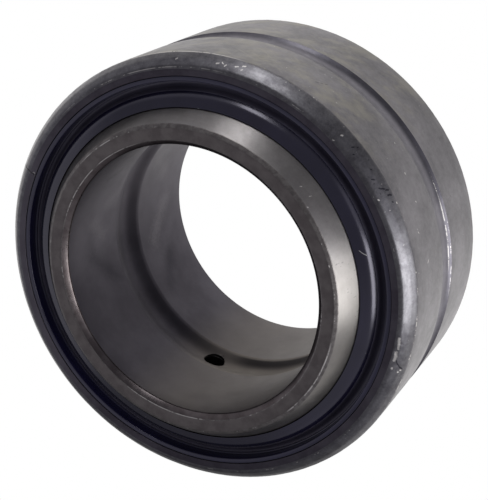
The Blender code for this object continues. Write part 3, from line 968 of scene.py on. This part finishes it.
def seal_section(sign):
    rim_r = RECESS_R - 0.06
    bead_r = rim_r + UNDERCUT
    top, foot = OUTER_Z - 0.14, SEAT_Z + SEAL_GAP
    bead_top = OUTER_Z - UNDERCUT_BELOW - SEAL_GAP
    lip_z = OUTER_Z + 0.3
    inner_lip_z = foot + 0.3 * (top - foot)
    relief_z = (lip_z + inner_lip_z) / 2
    bevel_end = down_slope((across(BALL_R + SEAL_GAP, lip_z), lip_z), *BEVEL)
    shoulder = down_slope(bevel_end, *SHOULDER)
    wall_r, floor_z = rim_r - 0.85, top - CHANNEL_DEPTH
    floor_r, step_r = wall_r - 1.0, wall_r - 0.35

    def on_ball(z, rounding, finish="rubber", clear=0.0, out=0.0):
        """A corner that clears the ball by the seal's gap and more."""
        return corner(across(BALL_R + SEAL_GAP + clear, z) + out, z, rounding, finish)

    out = [
        corner(wall_r, top, 0.18, "rubber"), corner(rim_r, top, 0.12, "rubber"),
        corner(rim_r, bead_top + 0.4, 0.1, "rubber"), corner(bead_r, bead_top, 0.15, "rubber"),
        corner(bead_r, foot + UNDERCUT, 0.15, "rubber"), corner(rim_r, foot, 0.1, "rubber"),
        on_ball(foot, 0.1, out=SEAL_GAP), on_ball(inner_lip_z, 0.08), on_ball(relief_z, 0.3, clear=0.6),
        on_ball(lip_z - 0.24, 0.05), on_ball(lip_z, 0.07, "bevel"),
        corner(*bevel_end, 0.60, "bevel"), corner(*shoulder, 0.3, "channel"),
        corner(floor_r - 0.3, floor_z + 0.35, 0.25, "channel"),
        corner(floor_r + 0.2, floor_z, 0.25, "channel"),
        corner(step_r, floor_z, 0.12, "channel"), corner(step_r, floor_z + 0.525, 0.12, "rubber"),
        corner(wall_r - 0.105, floor_z + 0.525, 0.08, "rubber"),
    ]
    points, runs = rounded(out, {"any": 0.6}, steps=5)
    if sign < 0:
        points = (points * (1, -1))[::-1]
        runs = runs[-2::-1] + runs[-1:]
    return points, runs

def soft_wave(degrees, r, z):
    """Moulded rubber is never quite true: it waves by a hundredth of a millimetre."""
    return 0.015 * unevenness(degrees, r, z, 6.0, 51.0), 0.0

front_skin = swept("front_seal_skin", seal_section(1), stations(1.0), seal_finishes, shape=soft_wave)
rear_skin = swept("rear_seal_skin", seal_section(-1), stations(1.0), seal_finishes, shape=soft_wave)

# %% [markdown]
# ## Fitting the pieces to the frame
#
# Each fine piece stands for its CAD node and rides on the body that carries it, so that the
# bearing still tilts and turns. The outer ring and the seals get their lean here.

# %% Riding
for piece, body, node, slot in (
    (outer_skin, "outer", "outer_ring", "blacked_steel"),
    (inner_skin, "inner", "inner_ring", "ground_steel"),
    (front_skin, "seals", "front_seal", "seal_rubber"),
    (rear_skin, "seals", "rear_seal", "seal_rubber"),
):
    if body != "inner":
        piece.rotation_euler = Euler((math.radians(RING_LEAN), 0.0, 0.0))
    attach(piece, body)
    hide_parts(node)
    low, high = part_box(node)
    print(f"{piece.name} rides on {body}; its node is {1000 * (high.z - low.z):.1f} mm high")

# %% [markdown]
# ## The studio
#
# The picture has a pure white ground with no shadow. In front stand a broad soft box at the right
# and a narrow one at the left, with a small one below it that lights the foot of the ring, and the
# rest of the room is dark. That is why most of the steel is dark, and two highlights run over
# every ring. Weak round panels in the room's light stand for what else the steel mirrors. The floor
# glows for the steel's reflections with painted light and shade: dimmer under the bore and far
# out, lighter or darker in some parts, and with a painted shadow on the camera's side. The floor
# and the room look white to the camera.

# %% Floor, surroundings and soft boxes
FLOOR_PAINTED_LIGHT_AND_SHADE = (  # middle and half width, in degrees round the bearing, softness, from and to in mm, change
    (139, 33, 7, 50, 95, -0.72),
    (289, 21, 14, 20, 40, -0.26),
    (221.5, 16.5, 14, 20, 40, 0.25),
    (58, 30, 10, 70, 105, 0.50),
    (186, 12, 12, 150, 260, 1.60),
)

def floor_material():
    f = Finish("studio_floor")
    out = f.tree.nodes["Material Output"]
    # Painted light and shade on the glowing floor: dimmer within 45 mm of the axis as painted shade under
    # the bore, fading with distance, and lighter or darker in the listed sectors, one a painted shadow on
    # the camera's side.
    under = f.between(f.radius, 5.0, 45.0, 0.45, 0.95)
    level = f.math("MULTIPLY", under, f.between(f.radius, 60.0, 240.0, 1.0, 0.22))
    for middle, half_width, soft, near_r, far_r, change in FLOOR_PAINTED_LIGHT_AND_SHADE:
        outside = f.between(f.radius, near_r, far_r)
        sector = f.math("MULTIPLY", f.facing(middle, half_width, soft), outside)
        level = f.math("MULTIPLY", level, f.math("MULTIPLY_ADD", sector, change, 1.0))
    paper = f.done(
        Base_Color=(0.3, 0.3, 0.3), Roughness=0.9, Emission_Color=(1.0, 0.985, 0.96),
        Emission_Strength=level,
    )
    glow = f.add("ShaderNodeEmission", None, Color=(1.0, 1.0, 1.0, 1.0), Strength=1.0)
    seen = f.add("ShaderNodeLightPath").outputs["Is Camera Ray"]
    both = f.add("ShaderNodeMixShader", None, seen, f.shader.outputs[0], glow.outputs[0])
    f.tree.links.new(both.outputs[0], out.inputs["Surface"])
    return paper

def floor():
    bm = bmesh.new()
    bmesh.ops.create_grid(bm, x_segments=8, y_segments=8, size=3.0)
    mesh = bpy.data.meshes.new("floor")
    bm.to_mesh(mesh)
    bm.free()
    mesh.materials.append(floor_material())
    obj = bpy.data.objects.new("floor", mesh)
    obj.location = (0, 0, cad_box[0].z - 0.0002)
    bpy.context.scene.collection.objects.link(obj)
    return obj

def surroundings(level, panels):
    """The room's even brightness, and round soft panels: azimuth, elevation, half width, edge, gain."""
    world = bpy.data.worlds.new("studio")
    world.use_nodes = True
    tree = world.node_tree
    tree.nodes.clear()

    def add(kind, settings, *inputs):
        return add_node(tree, kind, settings, *inputs).outputs

    towards = add("ShaderNodeTexCoord", {})["Generated"]
    for azimuth, elevation, half_width, edge, gain in panels:
        a, e = math.radians(azimuth), math.radians(elevation)
        middle = (math.cos(a) * math.cos(e), math.sin(a) * math.cos(e), math.sin(e))
        close = add("ShaderNodeVectorMath", {"operation": "DOT_PRODUCT"}, towards, middle)["Value"]
        outer, inner = math.cos(math.radians(half_width + edge)), math.cos(math.radians(half_width))
        smooth = {"interpolation_type": "SMOOTHSTEP"}
        glow = add("ShaderNodeMapRange", smooth, close, outer, inner, 0.0, gain)[0]
        level = add("ShaderNodeMath", {"operation": "ADD"}, glow, level)[0]
    room = add("ShaderNodeBackground", {}, (0.94, 0.93, 1.0, 1.0), level)[0]
    white = add("ShaderNodeBackground", {}, (1.0, 1.0, 1.0, 1.0), 1.0)[0]
    seen = add("ShaderNodeLightPath", {})["Is Camera Ray"]
    both = add("ShaderNodeMixShader", {}, seen, room, white)[0]
    tree.links.new(both, tree.nodes.new("ShaderNodeOutputWorld").inputs["Surface"])
    bpy.context.scene.world = world

def soft_box(name, azimuth, elevation, width, height, radiance, distance=0.6):
    """A rectangular light that faces the bearing. Sizes are the angles that it fills, in degrees."""
    a, e = math.radians(azimuth), math.radians(elevation)
    place = Vector((math.cos(a) * math.cos(e), math.sin(a) * math.cos(e), math.sin(e))) * distance
    light = bpy.data.lights.new(name, "AREA")
    light.shape = "RECTANGLE"
    light.size = 2 * distance * math.tan(math.radians(width / 2))
    light.size_y = 2 * distance * math.tan(math.radians(height / 2))
    light.energy = radiance * math.pi * light.size * light.size_y
    obj = bpy.data.objects.new(name, light)
    obj.matrix_world = Matrix.Translation(place) @ place.to_track_quat("Z", "Y").to_matrix().to_4x4()
    obj.visible_camera = False
    bpy.context.scene.collection.objects.link(obj)
    print(f"{name}: {light.energy:.2f} W")

floor()
surroundings(0.23, (
    (72, 5, 27, 12, 0.24), (195, 28, 22, 24, 0.16), (6, 5, 18, 22, 0.18),
    (97, 53, 8, 9, 0.22), (128, 8, 12, 12, -0.07), (263, 22, 9, 12, 0.42),
))
soft_box("soft_box_right", 235, 14, 33, 43, 3.7)
soft_box("soft_box_left", 333, 14, 12, 42, 3.8)
soft_box("soft_box_foot", 333, -1, 9, 4, 3)
bpy.context.scene.view_settings.view_transform = "Standard"

# %% [markdown]
# ## The CAD box
#
# The visible pieces have to fill the CAD model's box and no more.
